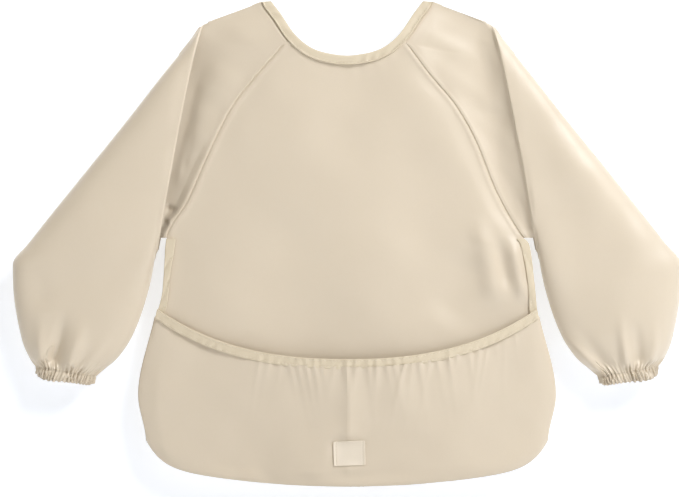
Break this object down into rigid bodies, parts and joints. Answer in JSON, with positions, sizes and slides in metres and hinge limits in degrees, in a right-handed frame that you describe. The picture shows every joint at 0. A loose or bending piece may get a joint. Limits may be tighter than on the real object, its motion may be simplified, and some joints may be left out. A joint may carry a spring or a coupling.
{
  "type": "smock bib",
  "caption": "Child's long-sleeved smock bib with raglan sleeves, gathered elastic cuffs, bound neck, short open back and a full-width catch pocket along the hem.",
  "frame": {"origin": "under the lowest point of the hem, on the centre line, midway between the frontmost and the rearmost face", "axes": "+Z from the hem toward the neck, the front faces -Y, +X is the wearer's left"},
  "size_m": [0.5524, 0.0378, 0.399],
  "materials": {
    "coated_fabric": "coated, satin",
    "binding_tape": "woven, matte",
    "cuff_fabric": "coated, gathered",
    "elastic_tape": "knitted, matte",
    "woven_label": "woven, matte",
    "hook_and_loop": "napped, matte"
  },
  "bodies": {
    "root": {"front_panel": "coated_fabric", "shoulder_front_left": "coated_fabric", "shoulder_front_right": "coated_fabric", "shoulder_back_left": "coated_fabric", "shoulder_back_right": "coated_fabric", "neck_binding_front": "binding_tape", "side_binding_left": "binding_tape", "side_binding_right": "binding_tape"},
    "sleeve_left": {"sleeve_left": "coated_fabric", "cuff_casing_left": "cuff_fabric", "cuff_elastic_left": "elastic_tape"},
    "sleeve_right": {"sleeve_right": "coated_fabric", "cuff_casing_right": "cuff_fabric", "cuff_elastic_right": "elastic_tape"},
    "pocket": {"pocket_panel": "coated_fabric", "pocket_binding": "binding_tape", "label_patch": "woven_label"},
    "back_left": {"back_panel_left": "coated_fabric", "neck_binding_back_left": "binding_tape"},
    "back_right": {"back_panel_right": "coated_fabric", "neck_binding_back_right": "binding_tape", "loop_patch": "hook_and_loop"},
    "tab": {"closure_tab": "coated_fabric", "hook_patch": "hook_and_loop"},
    "tie_left": {"waist_tie_left": "binding_tape"},
    "tie_right": {"waist_tie_right": "binding_tape"}
  },
  "joints": [
    {"name": "sleeve_left_swing", "type": "hinge", "parent": "root", "child": "sleeve_left", "pos_m": [0.115, 0.0039, 0.3815], "axis": [0, -1, 0], "range_deg": [0, 40]},
    {"name": "sleeve_right_swing", "type": "hinge", "parent": "root", "child": "sleeve_right", "pos_m": [-0.115, 0.0039, 0.3815], "axis": [0, 1, 0], "range_deg": [0, 40]},
    {"name": "pocket_open", "type": "hinge", "parent": "root", "child": "pocket", "pos_m": [0, -0.0081, 0], "axis": [1, 0, 0], "range_deg": [0, 25]},
    {"name": "back_left_open", "type": "hinge", "parent": "root", "child": "back_left", "pos_m": [0.148, 0.0133, 0.204], "axis": [0.3675, 0, -0.93], "range_deg": [0, 60]},
    {"name": "back_right_open", "type": "hinge", "parent": "root", "child": "back_right", "pos_m": [-0.148, 0.0133, 0.204], "axis": [0.3675, 0, 0.93], "range_deg": [0, 60]},
    {"name": "tab_peel", "type": "hinge", "parent": "back_left", "child": "tab", "pos_m": [0.014, 0.0189, 0.318], "axis": [0, 0, -1], "range_deg": [0, 150]},
    {"name": "tie_left_swing", "type": "hinge", "parent": "root", "child": "tie_left", "pos_m": [0.146, 0.0024, 0.178], "axis": [0, 1, 0], "range_deg": [-40, 50]},
    {"name": "tie_right_swing", "type": "hinge", "parent": "root", "child": "tie_right", "pos_m": [-0.146, 0.0048, 0.178], "axis": [0, -1, 0], "range_deg": [-40, 50]}
  ],
  "couplings": [
    {"joint": "back_right_open", "follows": "back_left_open", "ratio": 1}
  ]
}
